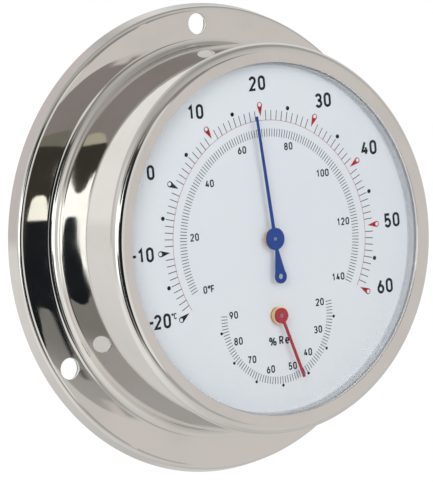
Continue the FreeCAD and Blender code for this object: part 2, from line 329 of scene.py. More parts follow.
def case_section():
    """The flange's face is slightly crowned by the spinning, and its back is flat."""
    lean = math.atan2(RIM_LEAN, FLANGE_DEPTH)
    across = SHEET / math.cos(lean)
    inner_depth = FLANGE_DEPTH - SHEET
    inner_lean = RIM_LEAN * inner_depth / FLANGE_DEPTH
    lip_back = CASE_DEPTH - SHEET
    rim_depth = FLANGE_DEPTH - FLANGE_RIM_DROP
    return rounded_section([
        (FLANGE_RADIUS - across, 0, 0),
        (FLANGE_RADIUS, 0, 0),
        (FLANGE_RADIUS - RIM_LEAN * rim_depth / FLANGE_DEPTH, rim_depth, RIM_BEND),
        (FLANGE_SHOULDER_RADIUS, FLANGE_DEPTH - FLANGE_SHOULDER_DROP, FLANGE_SHOULDER_BEND),
        (FLANGE_CROWN_RADIUS, FLANGE_DEPTH + FLANGE_CROWN_RISE, FLANGE_CROWN_BEND),
        (BARREL_RADIUS, FLANGE_DEPTH + FLANGE_FOOT_RISE, FOOT_BEND),
        (BARREL_RADIUS, CASE_DEPTH, NOSE_BEND),
        (OPENING_RADIUS, CASE_DEPTH, LIP_EDGE_RADIUS),
        (OPENING_RADIUS, lip_back, 0),
        (BARREL_RADIUS - SHEET, lip_back, NOSE_BEND - SHEET),
        (BARREL_RADIUS - SHEET, inner_depth, FOOT_BEND + SHEET),
        (FLANGE_RADIUS - across - inner_lean, inner_depth, RIM_BEND - SHEET),
    ])


class Spinning:
    """A mesh with its own normals, made of rings spun about axes that run along the depth."""

    def __init__(self):
        self.points = []
        self.faces = []
        self.normals = []

    def ring(self, x, z, radius, depth, steps):
        first = len(self.points)
        for step in range(steps):
            angle = math.tau * step / steps
            self.points.append(Vector((x + radius * math.cos(angle), -depth, z + radius * math.sin(angle))))
        return range(first, first + steps)

    def band(self, near, far, near_normal, far_normal):
        """Quads between two rings. A normal is (away from the axis, towards the viewer)."""
        steps = len(near)
        for step in range(steps):
            following = (step + 1) % steps
            corners = [(near[step], step, near_normal), (near[following], following, near_normal),
                       (far[following], following, far_normal), (far[step], step, far_normal)]
            for _, place, (out, front) in corners:
                angle = math.tau * place / steps
                self.normals.append((out * math.cos(angle), -front, out * math.sin(angle)))
            self.faces.append([point for point, _, _ in corners])

    def plate(self, outer, inner, between, holes, normal_at):
        """A ring of triangles between two rings of points, with round holes in it. between has more
        points to use, and normal_at gives the normal at a radius, as band has it."""
        loops = [outer, inner] + [loop for _, _, _, loop in holes]
        used = [index for loop in loops for index in loop] + between
        flat = [Vector((self.points[index].x, self.points[index].z)) for index in used]
        edges = []
        for loop in loops:
            first = used.index(loop[0])
            edges += [(first + step, first + (step + 1) % len(loop)) for step in range(len(loop))]
        places, _, triangles, sources, _, _ = delaunay_2d_cdt(flat, edges, [], 0, SAME_POINT)
        inner_radius = flat[used.index(inner[0])].length
        outer_radius = flat[used.index(outer[0])].length
        for triangle in triangles:
            middle = sum((places[corner] for corner in triangle), Vector((0, 0))) / len(triangle)
            in_hole = any(math.dist(middle, (x, z)) < radius for x, z, radius, _ in holes)
            if in_hole or not inner_radius < middle.length < outer_radius:
                continue
            corners = [sources[corner][0] for corner in triangle]
            normals = [normal_at(flat[corner].length) for corner in corners]
            if normals[0][1] < 0:
                corners.reverse()
                normals.reverse()
            for corner, (out, front) in zip(corners, normals):
                spoke = flat[corner].normalized()
                self.normals.append((out * spoke.x, -front, out * spoke.y))
            self.faces.append([used[corner] for corner in corners])

    def put(self, name, material, slot):
        mesh = bpy.data.meshes.new(name)
        mesh.from_pydata([point * MM for point in self.points], [], self.faces)
        mesh.shade_smooth()
        mesh.normals_split_custom_set(self.normals)
        return link(name, mesh, material)


def on_face(face, radius):
    """Depth and normal of the crowned face at a radius, between its (point, normal) rows."""
    low, high = next(pair for pair in zip(face, face[1:]) if radius <= pair[1][0].x or pair[1] is face[-1])
    share = (radius - low[0].x) / (high[0].x - low[0].x)
    return low[0].lerp(high[0], share).y, low[1].lerp(high[1], share)


def screw_holes(shell, face):
    """The walls of the screw holes, with a rounded edge in front. Gives each hole as (x, z, radius,
    ring) where it meets the face, and again where it meets the back."""
    front_holes = []
    back_holes = []
    for index in range(SCREW_COUNT):
        x, z = on_circle(SCREW_CIRCLE, index * 360 / SCREW_COUNT)
        loops = []
        for step in range(HOLE_EDGE_STEPS + 1):
            angle = math.pi / 2 * step / HOLE_EDGE_STEPS
            radius = SCREW_HOLE_RADIUS + SCREW_HOLE_EDGE * (1 - math.sin(angle))
            loop = shell.ring(x, z, radius, 0, HOLE_STEPS)
            for place in loop:
                point = shell.points[place]
                face_depth, _ = on_face(face, math.hypot(point.x, point.z))
                point.y = SCREW_HOLE_EDGE * (1 - math.cos(angle)) - face_depth
            loops.append((loop, (-math.sin(angle), math.cos(angle))))
        loops.append((shell.ring(x, z, SCREW_HOLE_RADIUS, FLANGE_DEPTH - SHEET, HOLE_STEPS), (-1, 0)))
        for (near, near_normal), (far, far_normal) in zip(loops, loops[1:]):
            shell.band(near, far, near_normal, far_normal)
        front_holes.append((x, z, SCREW_HOLE_RADIUS + SCREW_HOLE_EDGE, loops[0][0]))
        back_holes.append((x, z, SCREW_HOLE_RADIUS, loops[-1][0]))
    return front_holes, back_holes


def case_shell(material):
    """The case as one fine mesh, so that its mirror finish has no facets."""
    shell = Spinning()
    section = case_section()
    rings = [shell.ring(0, 0, point.x, point.y, TURN_STEPS) for point, _, _ in section]
    upright = math.cos(math.radians(FACE_LEAN))
    on_flange = [index for index, (point, _, _) in enumerate(section) if point.x > BARREL_RADIUS]
    front_rows = [index for index in on_flange if section[index][2].y > upright]
    back_rows = [index for index in on_flange if max(section[index][1].y, section[index][2].y) < 0
                 and min(section[index][1].y, section[index][2].y) < -upright]
    for rows in (front_rows, back_rows):
        rows.sort(key=lambda index: section[index][0].x)
    face = [(section[index][0], section[index][2]) for index in front_rows]
    front_holes, back_holes = screw_holes(shell, face)
    for index, (_, _, normal) in enumerate(section):
        following = (index + 1) % len(section)
        _, next_normal, _ = section[following]
        if not {index, following} <= set(front_rows) and not {index, following} <= set(back_rows):
            shell.band(rings[index], rings[following], normal, next_normal)
    between = []
    for row in front_rows[1:-1]:
        for index in rings[row]:
            point = shell.points[index]
            if all(math.dist((point.x, point.z), (x, z)) > radius for x, z, radius, _ in front_holes):
                between.append(index)
    shell.plate(rings[front_rows[-1]], rings[front_rows[0]], between, front_holes,
                lambda radius: on_face(face, radius)[1])
    shell.plate(rings[back_rows[-1]], rings[back_rows[0]], [], back_holes, lambda radius: (0, -1))
    piece = shell.put("case_shell", material, "chrome")
    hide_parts("case")


# Figures

def arc(x, y, width, height, start, end):
    """Points of an ellipse's arc, from start to end degrees counted anticlockwise from the right."""
    steps = max(2, round(abs(end - start) / ARC_STEP))
    points = []
    for step in range(steps + 1):
        angle = math.radians(start + (end - start) * step / steps)
        points.append((x + width * math.cos(angle), y + height * math.sin(angle)))
    return points


def ellipse(x, y, width, height):
    """A whole ellipse as (path, closed)."""
    return (arc(x, y, width, height, 0, 360)[:-1], True)


def figure_strokes(figure):
    """The centre lines of one figure as (path, closed), in shares of its height."""
    w = FIGURE_WIDTH - STROKE
    h = 1 - STROKE
    m = w / 2
    bowl = 0.24
    if figure == "0":
        return [(arc(m, h - m, m, m, 0, 180) + arc(m, m, m, m, 180, 360), True)]
    if figure == "1":
        return [([(0.1, h - 0.19), (0.3, h), (0.3, 0)], False)]
    if figure == "2":
        return [(arc(m, h - m, m, m, 168, -28) + [(0, 0), (w, 0)], False)]
    if figure == "3":
        middle = h - 0.4
        return [(arc(m, h - 0.2, m * 0.94, 0.2, 160, -90) + [(m * 0.7, middle)], False),
                ([(m * 0.7, middle)] + arc(m, middle / 2, m, middle / 2, 90, -160), False)]
    if figure == "4":
        return [([(0.62 * w, h), (0.02, 0.21), (w + 0.05, 0.21)], False),
                ([(0.78 * w, 0.46), (0.78 * w, 0)], False)]
    if figure == "5":
        return [([(w * 0.95, h), (0.06, h), (0.04, 0.41)] + arc(m, 0.25, m, 0.25, 118, -158), False)]
    if figure == "6":
        top = (0.66 * w, h)
        lean = math.atan2(h - bowl, top[0] - m)
        touch = lean + math.acos(m / math.dist(top, (m, bowl)))
        foot = (m + m * math.cos(touch), bowl + bowl * math.sin(touch))
        return [ellipse(m, bowl, m, bowl), ([top, foot], False)]
    if figure == "7":
        return [([(0, h), (w, h), (0.3 * w, 0)], False)]
    if figure == "8":
        low = (h - 0.39) / 2
        return [ellipse(m, h - 0.195, m * 0.88, 0.195), ellipse(m, low, m, low)]
    if figure == "9":
        return [([(w - x, h - y) for x, y in path], closed) for path, closed in figure_strokes("6")]
    if figure == "degree":
        return [ellipse(0.1, h - 0.12, 0.12, 0.12)]
    if figure == "C":
        return [(arc(m, h - m, m, m, 20, 180) + arc(m, m, m, m, 180, 340), False)]
    if figure == "F":
        return [([(w, h), (0, h), (0, 0)], False), ([(0, 0.5 * h), (0.85 * w, 0.5 * h)], False)]
    if figure == "%":
        return [ellipse(0.15, h - 0.18, 0.15, 0.18), ellipse(0.71, 0.18, 0.15, 0.18),
                ([(0.69, h), (0.17, 0)], False)]
    if figure == "R":
        return [([(0, 0), (0, h), (0.5 * w, h)] + arc(0.55 * w, h - 0.21, 0.45 * w, 0.21, 80, -90)
                 + [(0, h - 0.42)], False),
                ([(0.5 * w, h - 0.42), (w, 0)], False)]
    if figure == "e":
        x_height = 0.3
        return [([(0.02, x_height)] + arc(0.2, x_height, 0.2, x_height - 0.01, 0, 318), False)]
    if figure == "l":
        return [([(0.1, h), (0.1, 0.1), (0.2, 0)], False)]
    raise ValueError(figure)


def figures(ink, text, place, height, steps=None):
    """Sets a row of figures with its middle at a place."""
    steps = steps or [FIGURE_STEP] * (len(text) - 1)
    width = sum(steps) + FIGURE_WIDTH
    left = place[0] - (width - STROKE) / 2 * height
    low = place[1] - (1 - STROKE) / 2 * height
    for index, figure in enumerate(text):
        shift = sum(steps[:index])
        for path, closed in figure_strokes(figure):
            drawn = [(left + (shift + x) * height, low + y * height) for x, y in path]
            ink.stroke(drawn, STROKE * height, closed)


# Scales

def scale_ticks(readings, to_angle, start, end, width, centre_z=0.0):
    ink = Print()
    for reading in readings:
        inner = on_circle(start, to_angle(reading), centre_z)
        outer = on_circle(end, to_angle(reading), centre_z)
        ink.stroke([inner, outer], width)
    return ink


def celsius_angle(reading):
    return (reading - CELSIUS_TOP) * ARC_PER_CELSIUS


def fahrenheit_angle(reading):
    return celsius_angle((reading - FAHRENHEIT_FREEZING) / FAHRENHEIT_PER_CELSIUS)


def humidity_angle(reading):
    return 180 + (reading - HUMIDITY_BOTTOM) * ARC_PER_PERCENT


def celsius_arc():
    ink = Print()
    low = celsius_angle(CELSIUS_LOW)
    high = celsius_angle(CELSIUS_HIGH)
    steps = round((high - low) / 2)
    path = [on_circle(CELSIUS_ARC_RADIUS, low + (high - low) * step / steps) for step in range(steps + 1)]
    ink.stroke(path, CELSIUS_ARC_WIDTH)
    return ink


def scale_dots(low, high, to_angle, circle, radius, centre_z=0.0):
    """A dot half way between each figure and the next."""
    ink = Print()
    for reading in range(low + FIGURE_EVERY // 2, high, FIGURE_EVERY):
        ink.disc(*on_circle(circle, to_angle(reading), centre_z), radius)
    return ink


def pin(ink, clockwise, sides=32):
    """A drop with a round hole, its tip towards the dial's centre."""
    reach = PIN_RING_CIRCLE - PIN_TIP_CIRCLE
    shoulder = math.acos(PIN_RING_RADIUS / reach)
    outer = []
    inner = []
    for side in range(sides):
        angle = math.tau * side / sides
        from_tip = math.pi - abs(angle - math.pi)
        if from_tip < shoulder:
            radius = PIN_RING_RADIUS / math.cos(shoulder - from_tip)
        else:
            radius = PIN_RING_RADIUS
        for row, size, shift in ((outer, radius, 0.0), (inner, PIN_HOLE_RADIUS, PIN_HOLE_SHIFT)):
            along = PIN_RING_CIRCLE + shift - size * math.cos(angle)
            across = size * math.sin(angle)
            turn = math.radians(clockwise)
            row.append((along * math.sin(turn) - across * math.cos(turn),
                        along * math.cos(turn) + across * math.sin(turn)))
    ink.band(inner, outer, closed=True)


def celsius_pins(readings):
    ink = Print()
    for reading in readings:
        pin(ink, celsius_angle(reading))
    return ink


def scale_figures(places, height):
    ink = Print()
    for text, place in places.items():
        figures(ink, text, place, height)
    return ink


def celsius_figures():
    ink = scale_figures(CELSIUS_FIGURE_PLACES, CELSIUS_FIGURE_HEIGHT)
    for text, (x, z) in COLD_FIGURE_PLACES.items():
        figures(ink, text, (x, z), CELSIUS_FIGURE_HEIGHT)
        dash = x - COLD_DASH_REACH
        ends = [(dash - COLD_DASH_LENGTH / 2, z), (dash + COLD_DASH_LENGTH / 2, z)]
        ink.stroke(ends, STROKE * CELSIUS_FIGURE_HEIGHT)
    figures(ink, ["degree", "C"], CELSIUS_UNIT_PLACE, CELSIUS_UNIT_HEIGHT, CELSIUS_UNIT_STEPS)
    return ink


def fahrenheit_figures():
    ink = scale_figures(FAHRENHEIT_FIGURE_PLACES, SMALL_FIGURE_HEIGHT)
    figures(ink, ["0", "degree", "F"], FAHRENHEIT_ZERO_PLACE, SMALL_FIGURE_HEIGHT,
            FAHRENHEIT_ZERO_STEPS)
    return ink


def humidity_figures():
    ink = scale_figures(HUMIDITY_FIGURE_PLACES, SMALL_FIGURE_HEIGHT)
    figures(ink, ["%", "R", "e", "l"], HUMIDITY_UNIT_PLACE, HUMIDITY_UNIT_HEIGHT, HUMIDITY_UNIT_STEPS)
    return ink


# Node trees

class Tree:
    """A short way to add and link the nodes of one tree."""

    def __init__(self, tree):
        self.tree = tree

    def add(self, kind, inputs=None, **settings):
        node = self.tree.nodes.new(kind)
        for name, value in settings.items():
            setattr(node, name, value)
        for name, value in (inputs or {}).items():
            self.feed(node.inputs[name], value)
        return node

    def feed(self, socket, value):
        if isinstance(value, bpy.types.NodeSocket):
            self.tree.links.new(value, socket)
        else:
            socket.default_value = value

    def math(self, operation, *values):
        node = self.add("ShaderNodeMath", operation=operation)
        for socket, value in zip(node.inputs, values):
            self.feed(socket, value)
        return node.outputs[0]

    def between(self, value, low, high, start=0.0, end=1.0):
        """Maps low to high onto start to end, smoothly, and holds the ends."""
        node = self.add("ShaderNodeMapRange", {"Value": value, "From Min": low, "From Max": high,
                                               "To Min": start, "To Max": end},
                        interpolation_type="SMOOTHSTEP")
        return node.outputs["Result"]

    def mix(self, share, first, second):
        """Mixes two colours. The node also has sockets for other kinds, so colours go by number."""
        node = self.add("ShaderNodeMix", data_type="RGBA")
        self.feed(node.inputs[0], share)
        self.feed(node.inputs[6], first)
        self.feed(node.inputs[7], second)
        return node.outputs[2]

    def past(self, turn, tilt, edge, bow, middle, power):
        """Goes from 0 to 1 where turn passes an edge that is bowed about a middle tilt."""
        off = self.math("ABSOLUTE", self.math("SUBTRACT", tilt, middle))
        bowed = self.math("MULTIPLY", self.math("POWER", off, power), bow)
        beyond = self.math("SUBTRACT", self.math("SUBTRACT", turn, edge), bowed)
        above_floor = self.math("SUBTRACT", turn, FLOOR_TURN)
        return self.between(self.math("MINIMUM", beyond, above_floor), -EDGE_SOFTNESS, EDGE_SOFTNESS)

    def round_ramp(self, turn, stops):
        """A ramp whose stops are angles from -180 to 180."""
        place = self.math("ADD", self.math("DIVIDE", turn, 360.0), 0.5)
        return self.ramp(place, [(angle / 360 + 0.5, colour) for angle, colour in stops])

    def ramp(self, value, stops):
        """A colour ramp with its stops as (position, colour)."""
        node = self.add("ShaderNodeValToRGB", {"Fac": value})
        elements = node.color_ramp.elements
        while len(elements) > 1:
            elements.remove(elements[-1])
        elements[0].position, elements[0].color = stops[0]
        for position, colour in stops[1:]:
            elements.new(position).color = colour
        return node.outputs["Color"]


def effect_group(name, inputs, outputs):
    """An empty node group with named sockets. Returns it with its tree, input node and output node."""
    group = bpy.data.node_groups.new(name, "ShaderNodeTree")
    for title, kind, value in inputs:
        socket = group.interface.new_socket(title, in_out="INPUT", socket_type=kind)
        socket.default_value = value
    for title, kind in outputs:
        group.interface.new_socket(title, in_out="OUTPUT", socket_type=kind)
    tree = Tree(group)
    return group, tree, tree.add("NodeGroupInput"), tree.add("NodeGroupOutput")


FLOAT = "NodeSocketFloat"
COLOUR = "NodeSocketColor"


def make_turning_marks():
    """Fine rings round the dial's axis, left by the lathe or the polishing wheel."""
    group, tree, given, out = effect_group(
        "turning_marks",
        [("Rings per Metre", FLOAT, 4000.0), ("Unevenness", FLOAT, 0.3)],
        [("Height", FLOAT), ("Mask", FLOAT)])
    place = tree.add("ShaderNodeTexCoord").outputs["Object"]
    x, y, z = tree.add("ShaderNodeSeparateXYZ", {0: place}).outputs
    radius = tree.math("SQRT", tree.math("ADD", tree.math("POWER", x, 2.0), tree.math("POWER", z, 2.0)))
    along = tree.math("ADD", radius, y)
    rings = tree.add("ShaderNodeTexNoise", {"W": along, "Scale": given.outputs["Rings per Metre"],
                                            "Detail": 2.0}, noise_dimensions="1D")
    cloud = tree.add("ShaderNodeTexNoise", {"Vector": place, "Scale": 60.0, "Detail": 2.0})
    uneven = tree.math("MULTIPLY", cloud.outputs["Fac"], given.outputs["Unevenness"])
    tree.feed(out.inputs["Height"], tree.math("ADD", rings.outputs["Fac"], uneven))
    tree.feed(out.inputs["Mask"], rings.outputs["Fac"])
    return group


def make_handling():
    """Cloudy smudges and fine specks, as on anything that has been handled and dusted."""
    group, tree, given, out = effect_group(
        "handling",
        [("Smudge Scale", FLOAT, 40.0), ("Speck Scale", FLOAT, 900.0), ("Speck Share", FLOAT, 0.5)],
        [("Mask", FLOAT), ("Height", FLOAT)])
    place = tree.add("ShaderNodeTexCoord").outputs["Object"]
    smudge = tree.add("ShaderNodeTexNoise", {"Vector": place, "Scale": given.outputs["Smudge Scale"],
                                             "Detail": 5.0, "Roughness": 0.6})
    soft = tree.between(smudge.outputs["Fac"], 0.4, 0.72)
    speck = tree.add("ShaderNodeTexVoronoi", {"Vector": place, "Scale": given.outputs["Speck Scale"]})
    dot = tree.between(speck.outputs["Distance"], 0.16, 0.05)
    specks = tree.math("MULTIPLY", dot, given.outputs["Speck Share"])
    tree.feed(out.inputs["Mask"], tree.math("MAXIMUM", soft, specks))
    tree.feed(out.inputs["Height"], specks)
    return group


def make_grain():
    """Orange peel of a sprayed or moulded skin, with a slow drift of tone."""
    group, tree, given, out = effect_group(
        "skin_grain",
        [("Colour", COLOUR, WHITE), ("Shade", COLOUR, WHITE), ("Grain Scale", FLOAT, 900.0)],
        [("Colour", COLOUR), ("Height", FLOAT)])
    place = tree.add("ShaderNodeTexCoord").outputs["Object"]
    peel = tree.add("ShaderNodeTexNoise", {"Vector": place, "Scale": given.outputs["Grain Scale"],
                                           "Detail": 3.0, "Roughness": 0.55})
    drift = tree.add("ShaderNodeTexNoise", {"Vector": place, "Scale": 25.0, "Detail": 2.0})
    share = tree.between(drift.outputs["Fac"], 0.35, 0.65)
    tree.feed(out.inputs["Colour"], tree.mix(share, given.outputs["Colour"], given.outputs["Shade"]))
    tree.feed(out.inputs["Height"], peel.outputs["Fac"])
    return group


TURNING_MARKS = make_turning_marks()
HANDLING = make_handling()
SKIN_GRAIN = make_grain()


def new_material(name):
    """A material with its Principled surface and a Tree."""
    material = bpy.data.materials.new(name)
    material.use_nodes = True
    tree = Tree(material.node_tree)
    return material, tree, material.node_tree.nodes["Principled BSDF"]


def use(tree, group, **values):
    """Places an effect group, with this material's own values."""
    node = tree.add("ShaderNodeGroup", node_tree=group)
    for name, value in values.items():
        node.inputs[name.replace("_", " ")].default_value = value
    return node


def bump(tree, surface, height, strength, distance):
    node = tree.add("ShaderNodeBump", {"Height": height, "Strength": strength, "Distance": distance})
    tree.feed(surface.inputs["Normal"], node.outputs["Normal"])


def show_instead(material, tree, share, plain, other):
    """Shows another shader in place of the plain one, by a share."""
    chosen = tree.add("ShaderNodeMixShader", {"Fac": share, 1: plain, 2: other})
    tree.feed(material.node_tree.nodes["Material Output"].inputs["Surface"], chosen.outputs["Shader"])


# Finishes

def turned_metal(name, colour, tarnish, rough_low, rough_high, rings=4000.0):
    """Metal with lathe rings, slightly darker where it has been handled."""
    material, tree, surface = new_material(name)
    surface.inputs["Metallic"].default_value = 1.0
    marks = use(tree, TURNING_MARKS, Rings_per_Metre=rings)
    handled = use(tree, HANDLING)
    mask = handled.outputs["Mask"]
    tree.feed(surface.inputs["Base Color"], tree.mix(tree.math("MULTIPLY", mask, 0.6), colour, tarnish))
    rough = tree.between(marks.outputs["Mask"], 0.3, 0.7, rough_low, rough_high)
    tree.feed(surface.inputs["Roughness"], tree.math("ADD", rough, tree.math("MULTIPLY", mask, 0.04)))
    bump(tree, surface, marks.outputs["Height"], strength=0.4, distance=0.000004)
    return material


def case_plate():
    """Bright nickel-chrome plate on the spun case: a mirror with faint polishing rings and dust."""
    material, tree, surface = new_material("case_plate")
    surface.inputs["Metallic"].default_value = 1.0
    marks = use(tree, TURNING_MARKS, Rings_per_Metre=500.0, Unevenness=0.8)
    handled = use(tree, HANDLING)
    mask = handled.outputs["Mask"]
    plate = (0.85, 0.82, 0.80, 1.0)
    worn = (0.80, 0.77, 0.745, 1.0)
    tree.feed(surface.inputs["Base Color"], tree.mix(mask, plate, worn))
    tree.feed(surface.inputs["Roughness"], tree.between(mask, 0.0, 1.0, 0.02, 0.06))
    bump(tree, surface, marks.outputs["Height"], strength=0.15, distance=0.00001)
    return material


def dial_paint():
    """The dial's satin paint, a white that leans to blue."""
    material, tree, surface = new_material("dial_paint")
    bluish_white = (0.715, 0.745, 0.79, 1.0)
    drifted_white = (0.70, 0.732, 0.78, 1.0)
    grain = use(tree, SKIN_GRAIN, Colour=bluish_white, Shade=drifted_white)
    tree.feed(surface.inputs["Base Color"], grain.outputs["Colour"])
    surface.inputs["Roughness"].default_value = 0.5
    surface.inputs["Specular IOR Level"].default_value = 0.3
    bump(tree, surface, grain.outputs["Height"], strength=0.2, distance=0.00001)
    return material


def screen_ink(name, colour):
    """Screen-printed ink: nearly even, with a slightly thin patch here and there."""
    material, tree, surface = new_material(name)
    thin = tuple(min(1.0, part * 1.25 + 0.01) for part in colour[:3]) + (1.0,)
    grain = use(tree, SKIN_GRAIN, Colour=colour, Shade=thin, Grain_Scale=2500.0)
    tree.feed(surface.inputs["Base Color"], grain.outputs["Colour"])
    surface.inputs["Roughness"].default_value = 0.55
    surface.inputs["Specular IOR Level"].default_value = 0.1
    bump(tree, surface, grain.outputs["Height"], strength=0.2, distance=0.000005)
    return material


def window_glass():
    """Clear mineral glass, coated so that it hardly mirrors. Lamps and bounced light pass straight
    through it to the dial."""
    material, tree, surface = new_material("window_glass")
    surface.inputs["Base Color"].default_value = (0.985, 0.995, 0.99, 1.0)
    surface.inputs["Transmission Weight"].default_value = 1.0
    surface.inputs["IOR"].default_value = 1.5
    surface.inputs["Specular Tint"].default_value = (0.1, 0.1, 0.12, 1.0)
    handled = use(tree, HANDLING, Smudge_Scale=25.0, Speck_Share=0.2)
    tree.feed(surface.inputs["Roughness"], tree.between(handled.outputs["Mask"], 0.0, 1.0, 0.0, 0.02))
    clear = tree.add("ShaderNodeBsdfTransparent")
    path = tree.add("ShaderNodeLightPath")
    passes = tree.math("MAXIMUM", path.outputs["Is Shadow Ray"], path.outputs["Is Diffuse Ray"])
    show_instead(material, tree, passes, surface.outputs["BSDF"], clear.outputs["BSDF"])
    return material


def skin(name, colour, shade, roughness, grain_depth=0.00002, specular=0.5):
    """A sprayed or moulded skin with orange peel and handling marks."""
    material, tree, surface = new_material(name)
    grain = use(tree, SKIN_GRAIN, Colour=colour, Shade=shade)
    handled = use(tree, HANDLING)
    tree.feed(surface.inputs["Base Color"], grain.outputs["Colour"])
    tree.feed(surface.inputs["Roughness"],
              tree.between(handled.outputs["Mask"], 0.0, 1.0, roughness, roughness + 0.1))
    surface.inputs["Specular IOR Level"].default_value = specular
    bump(tree, surface, grain.outputs["Height"], strength=0.3, distance=grain_depth)
    return material


def rolled_strip(name, colour, tarnish, roughness):
    """Strip metal with the fine straight lines of rolling, along x."""
    material, tree, surface = new_material(name)
    surface.inputs["Metallic"].default_value = 1.0
    place = tree.add("ShaderNodeTexCoord").outputs["Object"]
    stretched = tree.add("ShaderNodeMapping", {"Vector": place, "Scale": (4000.0, 4000.0, 60.0)})
    lines = tree.add("ShaderNodeTexNoise", {"Vector": stretched.outputs["Vector"], "Scale": 1.0,
                                            "Detail": 3.0})
    handled = use(tree, HANDLING)
    tree.feed(surface.inputs["Base Color"], tree.mix(handled.outputs["Mask"], colour, tarnish))
    tree.feed(surface.inputs["Roughness"],
              tree.between(lines.outputs["Fac"], 0.3, 0.7, roughness, roughness + 0.15))
    bump(tree, surface, lines.outputs["Fac"], strength=0.3, distance=0.000005)
    return material


def finishes():
    """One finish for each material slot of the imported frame."""
    ring_grey, ring_shade = (0.54, 0.56, 0.59, 1.0), (0.51, 0.53, 0.56, 1.0)
    sleeve_black, sleeve_shade = (0.02, 0.02, 0.02, 1.0), (0.03, 0.03, 0.03, 1.0)
    cover_black, cover_shade = (0.02, 0.02, 0.022, 1.0), (0.035, 0.035, 0.035, 1.0)
    brass, dull_brass = (0.86, 0.59, 0.31, 1.0), (0.68, 0.44, 0.20, 1.0)
    zinc, dull_zinc = (0.62, 0.62, 0.62, 1.0), (0.48, 0.47, 0.45, 1.0)
    dark_steel = (0.21, 0.21, 0.225, 1.0)
    bimetal, dull_bimetal = (0.60, 0.54, 0.45, 1.0), (0.42, 0.36, 0.28, 1.0)
    film, film_shade = (0.62, 0.50, 0.30, 1.0), (0.54, 0.42, 0.23, 1.0)
    hand_blue, blue_shade = (0.014, 0.048, 0.23, 1.0), (0.018, 0.055, 0.26, 1.0)
    hand_red, red_shade = (0.36, 0.032, 0.055, 1.0), (0.40, 0.038, 0.063, 1.0)
    hand_gloss = {"roughness": 0.35, "grain_depth": 0.000008, "specular": 0.1}
    return {
        "chrome": case_plate(),
        "clear_glass": window_glass(),
        "grey_plastic": skin("ring_plastic", ring_grey, ring_shade, roughness=0.25),
        "black_plastic": skin("sleeve_plastic", sleeve_black, sleeve_shade, roughness=0.45),
        "dial_lacquer": dial_paint(),
        "black_lacquer": skin("cover_lacquer", cover_black, cover_shade, roughness=0.35),
        "brass": turned_metal("turned_brass", brass, dull_brass, rough_low=0.12, rough_high=0.2),
        "bridge_brass": rolled_strip("bridge_brass", brass, dull_brass, roughness=0.25),
        "steel": turned_metal("zinc_plated_steel", zinc, dull_zinc, rough_low=0.25, rough_high=0.4),
        "arbor_steel": turned_metal("arbor_steel", dark_steel, dark_steel, rough_low=0.15,
                                    rough_high=0.25, rings=9000.0),
        "bimetal": rolled_strip("bimetal_strip", bimetal, dull_bimetal, roughness=0.3),
        "moisture_film": skin("moisture_film", film, film_shade, roughness=0.5),
        "blue_lacquer": skin("blue_lacquer", hand_blue, blue_shade, **hand_gloss),
        "red_lacquer": skin("red_lacquer", hand_red, red_shade, **hand_gloss),
    }


def dress_frame(made):
    """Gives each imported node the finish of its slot."""
    for node in nodes.values():
        for slot in node.material_slots:
            slot.material = made[slot.material.name.split(".")[0]]


def print_dial():
    """The printed scales, one piece for each colour and kind."""
    navy_ink = screen_ink("navy_ink", (0.003, 0.008, 0.015, 1.0))
    red_ink = screen_ink("red_ink", (0.34, 0.008, 0.022, 1.0))
    grey_ink = screen_ink("grey_ink", (0.035, 0.033, 0.04, 1.0))
    rose_ink = screen_ink("rose_ink", (0.42, 0.16, 0.19, 1.0))
    celsius = range(CELSIUS_LOW, CELSIUS_HIGH + 1)
    fahrenheit = range(FAHRENHEIT_LOW, FAHRENHEIT_HIGH + 1)
    humidity = range(HUMIDITY_LOW, HUMIDITY_HIGH + 1)
    plain_celsius = [reading for reading in celsius if reading % FIGURE_EVERY]
    celsius_arc().put("celsius_arc", rose_ink)
    scale_ticks(plain_celsius, celsius_angle, CELSIUS_ARC_RADIUS, CELSIUS_TICK_END,
                CELSIUS_TICK_WIDTH).put("celsius_ticks", grey_ink)
    scale_dots(CELSIUS_LOW, CELSIUS_HIGH, celsius_angle, CELSIUS_DOT_CIRCLE,
               CELSIUS_DOT_RADIUS).put("celsius_dots", navy_ink)
    celsius_pins(range(FIGURE_EVERY, CELSIUS_HIGH + 1, FIGURE_EVERY)).put("celsius_warm_pins", red_ink)
    celsius_pins(range(CELSIUS_LOW, 1, FIGURE_EVERY)).put("celsius_cold_pins", navy_ink)
    celsius_figures().put("celsius_figures", navy_ink)
    scale_ticks(fahrenheit, fahrenheit_angle, FAHRENHEIT_TICK_START, FAHRENHEIT_TICK_END,
                FAHRENHEIT_TICK_WIDTH).put("fahrenheit_ticks", grey_ink)
    fahrenheit_figures().put("fahrenheit_figures", navy_ink)
    scale_ticks(humidity, humidity_angle, HUMIDITY_TICK_START, HUMIDITY_TICK_END,
                HUMIDITY_TICK_WIDTH, HYGROMETER_Z).put("humidity_ticks", grey_ink)
    scale_dots(HUMIDITY_LOW, HUMIDITY_HIGH, humidity_angle, HUMIDITY_DOT_CIRCLE,
               HUMIDITY_DOT_RADIUS, HYGROMETER_Z).put("humidity_dots", navy_ink)
    humidity_figures().put("humidity_figures", navy_ink)


# Studio

def grey(level, red=1.0, blue=0.97):
    """A grey whose red and blue are shares of its level."""
    return (level * red, level, level * blue, 1.0)


